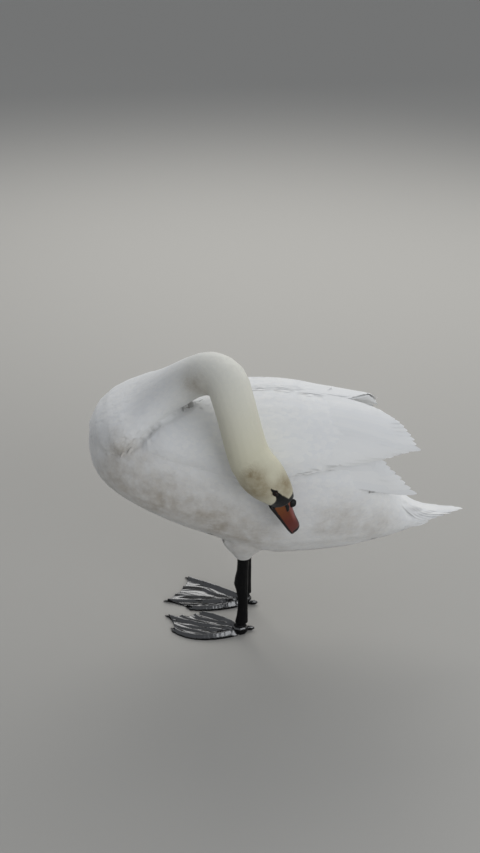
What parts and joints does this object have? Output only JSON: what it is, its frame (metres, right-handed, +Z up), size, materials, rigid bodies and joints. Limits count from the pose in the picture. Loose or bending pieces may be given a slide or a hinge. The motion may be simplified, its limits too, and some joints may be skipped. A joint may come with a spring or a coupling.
{
  "type": "mute swan",
  "caption": "Life-size standing mute swan preening its flank: long bent neck laid over one folded wing, pointed tail, black webbed feet and an orange bill with a black knob",
  "frame": {"origin": "on the floor, under the centre of the bounding box", "axes": "-X the way the breast and toes point, +X towards the tail; -Y the bird's left side, on which the head lies; +Z up"},
  "size_m": [0.8, 0.4008, 0.7113],
  "materials": {
    "plumage_white": "soft white feathers, matte",
    "plumage_cream": "short cream-tinted feathers, matte",
    "bill_orange": "smooth horn, satin",
    "bill_black": "bare black skin and horn, satin",
    "eye_dark": "glossy, dark brown",
    "leg_black": "scaled black skin, damp sheen",
    "claw_black": "black horn, satin"
  },
  "bodies": {
    "root": {"trunk": "plumage_white", "neck_lower": "plumage_white", "neck_bend": "plumage_white", "neck_upper": "plumage_white", "head": "plumage_cream", "tail": "plumage_white", "wing_left": "plumage_white", "wing_right": "plumage_white", "thigh_left": "plumage_white", "thigh_right": "plumage_white", "leg_left": "leg_black", "leg_right": "leg_black", "foot_left": "leg_black", "foot_right": "leg_black", "claw_left_inner": "claw_black", "claw_left_middle": "claw_black", "claw_left_outer": "claw_black", "claw_right_inner": "claw_black", "claw_right_middle": "claw_black", "claw_right_outer": "claw_black", "bill_upper": "bill_orange", "bill_lower": "bill_black", "bill_knob": "bill_black", "eye_left": "eye_dark", "eye_right": "eye_dark"}
  },
  "joints": []
}
